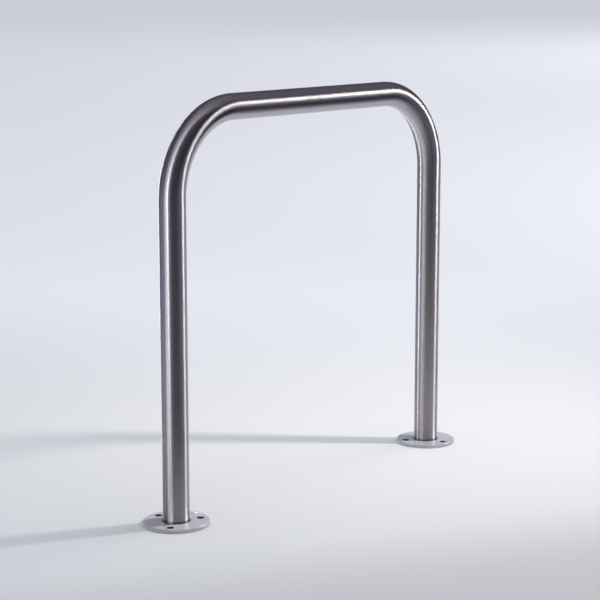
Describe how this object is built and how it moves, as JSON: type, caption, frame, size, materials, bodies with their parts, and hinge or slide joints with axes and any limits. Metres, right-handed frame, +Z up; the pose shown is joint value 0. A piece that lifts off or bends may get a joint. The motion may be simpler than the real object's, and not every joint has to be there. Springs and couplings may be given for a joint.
{
  "type": "hoop bike rack",
  "caption": "Hoop bike rack of bent round stainless tube with a round, drilled base flange welded under each leg for bolting to the ground.",
  "frame": {"origin": "on the ground, in the middle of the space between the two feet", "axes": "+X along the top bar towards the right foot, +Y across the hoop, +Z up"},
  "size_m": [0.8716, 0.12, 0.76],
  "materials": {
    "brushed_tube": "fine brushing round the tube, bright",
    "brushed_plate": "turned and polished, with a bright chamfered rim",
    "weld_bead": "rippled weld, pickled"
  },
  "bodies": {
    "root": {"hoop_tube": "brushed_tube", "left_base_flange": "brushed_plate", "right_base_flange": "brushed_plate", "left_foot_weld": "weld_bead", "right_foot_weld": "weld_bead"}
  },
  "joints": []
}
